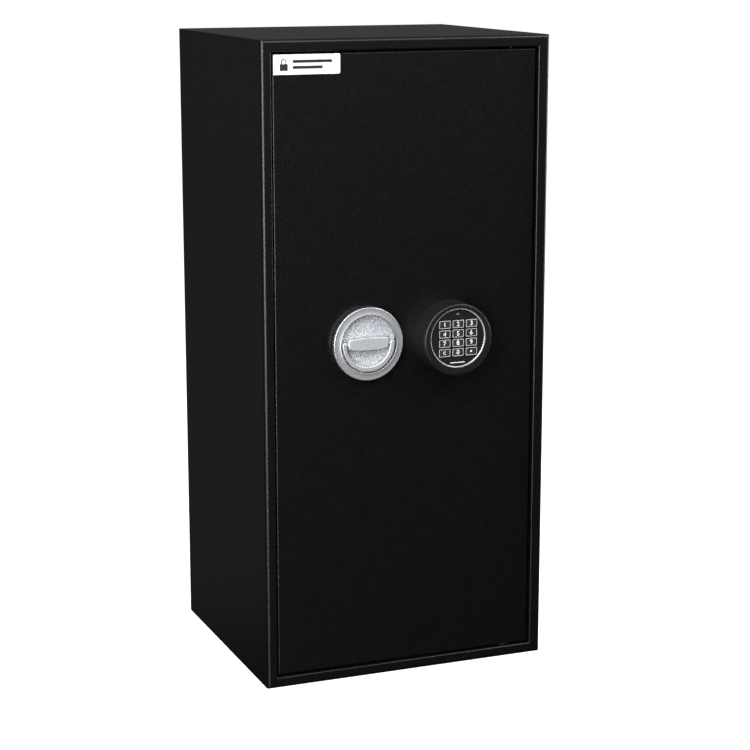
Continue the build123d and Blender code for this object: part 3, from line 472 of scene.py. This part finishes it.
def bail():
    """The D-shaped bail: a rounded bar swept round the lower half of the recess."""
    centre_r = BAIL_R - BAIL_BAND / 2
    thickness = BAIL_HIGH.y - BAIL_LOW.y
    mid_y = (BAIL_HIGH.y + BAIL_LOW.y) / 2
    arm_up = BAIL_HIGH.z - HANDLE.z
    arcs, corner = 72, 1.35 * MM
    # each step of the path is (x, z, angle of the outward side, size of the section)
    path = [(-centre_r, arm_up - down, math.pi, size)
            for down, size in ((0.02 * MM, 0.55), (0.6 * MM, 0.86), (1.5 * MM, 1))]
    for i in range(arcs + 1):
        angle = math.pi * (1 + i / arcs)
        path.append((centre_r * math.cos(angle), centre_r * math.sin(angle), angle, 1))
    path += [(-x, z, 2 * math.pi, size) for x, z, _, size in reversed(path[:3])]
    section = [(p.x, p.z) for p in rounded_rectangle((0, 0), BAIL_BAND, thickness, corner, 0, 5)]
    loops = []
    for x, z, angle, size in path:
        out_x, out_z = math.cos(angle), math.sin(angle)
        loops.append([Vector((HANDLE.x + x + out_x * a * size, mid_y + b * size,
                              HANDLE.z + z + out_z * a * size)) for a, b in section])
    ring = bmesh.new()
    loft(ring, loops)
    polish_edges(ring, flat=0.8)
    return mesh_piece("handle_bail", ring, "bail", [BAIL_SILVER, POLISHED])


band_piece = handle_band()
handle_recess()
bar_piece = grip_bar()
bail_pins()
bail_piece = bail()
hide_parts("handle_disc")
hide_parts("grip_bar")
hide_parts("bail")


# ---- keypad ----------------------------------------------------------------------------
KEY_CAP_W, KEY_CAP_H, KEY_DISH = 16.5 * MM, 10.8 * MM, 0.5 * MM
KEY_CORNER, KEY_RIM = 1.2 * MM, 1.15 * MM
LEGEND_H, SMALL_LEGEND_H = 5.9 * MM, 4.2 * MM
CAP_HEIGHT = 0.7  # height of a capital in the built-in font, as a share of its size
LEGEND_STROKE = 0.07 * MM  # the strokes are this much bolder on each side
INK_T = 0.1 * MM


def key_rim(key_name):
    """The light outline printed on a key's raised border."""
    low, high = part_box(key_name)
    centre = ((low.x + high.x) / 2, (low.z + high.z) / 2)
    sunk, proud = 0.12 * MM, -0.02 * MM
    steps = ((0.30 * MM, sunk), (0.42 * MM, proud), (KEY_RIM - 0.1 * MM, proud), (KEY_RIM, sunk))
    border = bmesh.new()
    loops = []
    for inset, drop in steps:
        corner = max(KEY_CORNER - inset, 0.5 * MM)
        loops.append(rounded_rectangle(centre, KEY_CAP_W - 2 * inset, KEY_CAP_H - 2 * inset, corner,
                                       low.y + drop))
    loft_ring(border, loops)
    mesh_piece(key_name + "_outline", border, key_name, [RIM_GREY], smooth=False)


def enter_dot(key_name, centre, floor_y):
    """The round dot that marks the enter key."""
    radius, chamfer = 1.35 * MM, 0.15 * MM
    profile = ((radius, INK_T), (radius, -0.06 * MM), (radius - chamfer, -INK_T))
    dot = bmesh.new()
    loft(dot, [circle(centre, r, floor_y + drop, 32) for r, drop in profile])
    mesh_piece(key_name + "_legend", dot, key_name, [WHITE_INK], smooth=False)


def key_legend(key_name, text, height):
    """A raised character in the dish of a key, centred by its own outline."""
    low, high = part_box(key_name)
    centre = (low + high) / 2
    floor_y = low.y + KEY_DISH
    if text is None:
        enter_dot(key_name, centre, floor_y)
        return
    curve = bpy.data.curves.new(key_name + "_text", "FONT")
    curve.body = text
    curve.size = height / CAP_HEIGHT
    curve.align_x, curve.align_y = "CENTER", "CENTER"
    curve.extrude = INK_T
    curve.offset = LEGEND_STROKE
    curve.resolution_u = 6
    words = bpy.data.objects.new(key_name + "_text", curve)
    words.rotation_euler = (math.pi / 2, 0, 0)
    bpy.context.scene.collection.objects.link(words)
    bpy.context.view_layer.update()
    finished = words.evaluated_get(bpy.context.evaluated_depsgraph_get())
    mesh = bpy.data.meshes.new_from_object(finished)
    mesh.transform(words.matrix_world)
    xs = [v.co.x for v in mesh.vertices]
    zs = [v.co.z for v in mesh.vertices]
    shift = (centre.x - (min(xs) + max(xs)) / 2, floor_y, centre.z - (min(zs) + max(zs)) / 2)
    mesh.transform(Matrix.Translation(shift))
    bpy.data.objects.remove(words)
    mesh.materials.clear()
    mesh.materials.append(WHITE_INK)
    made = bpy.data.objects.new(key_name + "_legend", mesh)
    bpy.context.scene.collection.objects.link(made)
    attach(made, key_name)


SPECIAL_LEGENDS = {"key_clear": ("C", SMALL_LEGEND_H), "key_enter": (None, None)}
for key in KEY_NODES:
    key_rim(key)
    key_legend(key, *SPECIAL_LEGENDS.get(key, (key[-1], LEGEND_H)))


def plain_bar():
    """A plain printed bar below the keys."""
    width, height, corner = 21 * MM, 1.5 * MM, 0.7 * MM
    centre = (DIAL.x, DIAL.z - 32.7 * MM)
    bar = bmesh.new()
    loft(bar, [rounded_rectangle(centre, width, height, corner, FACE_LOW.y + drop)
               for drop in (INK_T, -0.05 * MM)])
    mesh_piece("keypad_plain_bar", bar, "door", [BAR_INK], smooth=False)


plain_bar()


# ---- door label: a padlock sign and two plain bars -------------------------------------
def label_print():
    """Prints the sign; the label's own height is the unit of every size in it."""
    low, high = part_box("door_label")
    height = high.z - low.z
    z_mid = (low.z + high.z) / 2
    sunk, proud = 0.15 * MM, -0.02 * MM
    ink = bmesh.new()

    def place(along, up):
        return low.x + along * height, z_mid + up * height

    def block(along, up, width, tall, corner):
        sizes = (width * height, tall * height, corner * height)
        loft(ink, [rounded_rectangle(place(along, up), *sizes, low.y + drop) for drop in (sunk, proud)])

    lock_x, bars_x = 0.55, 1.02
    shackle_r, shackle_w, shackle_up = 0.09, 0.055, 0.14
    outer_r = shackle_r + shackle_w
    steps = 20
    arc = [math.pi * i / steps for i in range(steps + 1)]
    block(lock_x, -0.14, 0.42, 0.34, 0.04)
    edges = ((shackle_r, sunk), (shackle_r, proud), (outer_r, proud), (outer_r, sunk))
    strips = add_loops(ink, [
        [facing_point(*place(lock_x + radius * math.cos(a), shackle_up + radius * math.sin(a)),
                      low.y + drop) for a in arc] for radius, drop in edges])
    for first, second in zip(strips, strips[1:] + strips[:1]):
        for i in range(steps):
            ink.faces.new((first[i], first[i + 1], second[i + 1], second[i]))
    for end in (0, steps):
        ink.faces.new([strip[end] for strip in strips])
    for side in (-1, 1):
        block(lock_x + side * (shackle_r + shackle_w / 2), 0.085, shackle_w, 0.11, 0.002)
    for up, length in ((0.15, 2.1), (-0.15, 1.6)):
        block(bars_x + length / 2, up, length, 0.15, 0.03)
    mesh_piece("label_print", ink, "door", [DARK_INK], smooth=False)


label_print()

# ---- stage, camera and light -----------------------------------------------------------
scene = bpy.context.scene
scene.view_settings.view_transform = "Standard"

FLOOR_SIZE, FLOOR_GAP = 30, 0.5 * MM
bpy.ops.mesh.primitive_plane_add(size=FLOOR_SIZE, location=(0, 0, SHELL_LOW.z - FLOOR_GAP))
floor = bpy.context.object
floor.name = "floor"
floor_shader = Shader("floor_white", (0.9, 0.9, 0.9), 0.9, Specular_IOR_Level=0.0)
floor_shader.bsdf.inputs["Emission Color"].default_value = (1, 1, 1, 1)
floor_shader.bsdf.inputs["Emission Strength"].default_value = 1.0
floor.data.materials.append(floor_shader.mat)
floor.visible_glossy = False
floor.visible_diffuse = False
floor.visible_shadow = False

CAMERA_AZIMUTH, CAMERA_ELEVATION = -0.38314, 0.2128
CAMERA_PLACE = Vector((-1.01068, -2.56571, 0.97109))
CAMERA_LENS = 96.773  # focal length in mm for a 36 mm wide sensor
camera_data = bpy.data.cameras.new("camera")
camera_data.lens = CAMERA_LENS
camera_data.sensor_width = 36
camera = bpy.data.objects.new("camera", camera_data)
camera.location = CAMERA_PLACE
camera.rotation_euler = (math.pi / 2 - CAMERA_ELEVATION, 0, CAMERA_AZIMUTH)
scene.collection.objects.link(camera)
scene.camera = camera


def softbox(name, place, aim, size, power):
    """A rectangular lamp at place, facing aim; size in metres, power in watts."""
    data = bpy.data.lights.new(name, "AREA")
    data.shape = "RECTANGLE"
    data.size, data.size_y = size
    data.energy = power
    made = bpy.data.objects.new(name, data)
    made.location = place
    made.rotation_euler = (Vector(aim) - Vector(place)).to_track_quat("-Z", "Y").to_euler()
    scene.collection.objects.link(made)


softbox("key_left", (-2.1, -2.1, 1.1), (0, 0, 0.5), (1.0, 2.6), 90)
softbox("top_front", (-0.3, -1.7, 2.3), (0, 0, 0.7), (1.8, 1.0), 34)
softbox("top_right", (1.9, -1.3, 2.4), (0.1, -0.17, 0.02), (1.1, 1.0), 40)
softbox("side_left", (-1.2, 2.2, 0.1), (-0.2, 0, 0.4), (1.2, 1.8), 0.45)
softbox("upper_left", (-1.5, -1.2, 2.3), (-0.06, -0.17, 0.45), (0.6, 0.6), 16)
softbox("edge_right", (1.9, -0.3, 0.62), (0.2, -0.17, 0.6), (0.5, 0.9), 11)
softbox("strip_front", (-1.45, -3.0, 0.0), (-0.2, -0.17, 0.2), (0.2, 1.8), 28)

# Brightness of the surroundings by direction: 0 is straight down, 0.5 level, 1 straight up.
SURROUNDINGS = [(0.50, (0.004, 0.004, 0.0042)), (0.60, (0.12, 0.12, 0.1236)),
                (0.72, (0.22, 0.22, 0.2266)), (0.95, (0.06, 0.06, 0.062))]


def studio_world():
    """White where it is seen directly, a graded dark studio where it lights the object."""
    world = bpy.data.worlds.new("studio")
    world.use_nodes = True
    scene.world = world
    nodes, links = world.node_tree.nodes, world.node_tree.links
    nodes.clear()
    backdrop = nodes.new("ShaderNodeBackground")
    backdrop.inputs["Color"].default_value = (1, 1, 1, 1)
    direction = nodes.new("ShaderNodeTexCoord")
    split = nodes.new("ShaderNodeSeparateXYZ")
    to_unit = nodes.new("ShaderNodeMath")
    to_unit.operation = "MULTIPLY_ADD"
    to_unit.inputs[1].default_value, to_unit.inputs[2].default_value = 0.5, 0.5
    grade = nodes.new("ShaderNodeValToRGB")
    set_ramp(grade, SURROUNDINGS)
    studio = nodes.new("ShaderNodeBackground")
    rays = nodes.new("ShaderNodeLightPath")
    choose = nodes.new("ShaderNodeMixShader")
    world_out = nodes.new("ShaderNodeOutputWorld")
    links.new(direction.outputs["Generated"], split.inputs[0])
    links.new(split.outputs["Z"], to_unit.inputs[0])
    links.new(to_unit.outputs[0], grade.inputs["Fac"])
    links.new(grade.outputs["Color"], studio.inputs["Color"])
    links.new(rays.outputs["Is Camera Ray"], choose.inputs["Fac"])
    links.new(studio.outputs[0], choose.inputs[1])
    links.new(backdrop.outputs[0], choose.inputs[2])
    links.new(choose.outputs[0], world_out.inputs["Surface"])


studio_world()
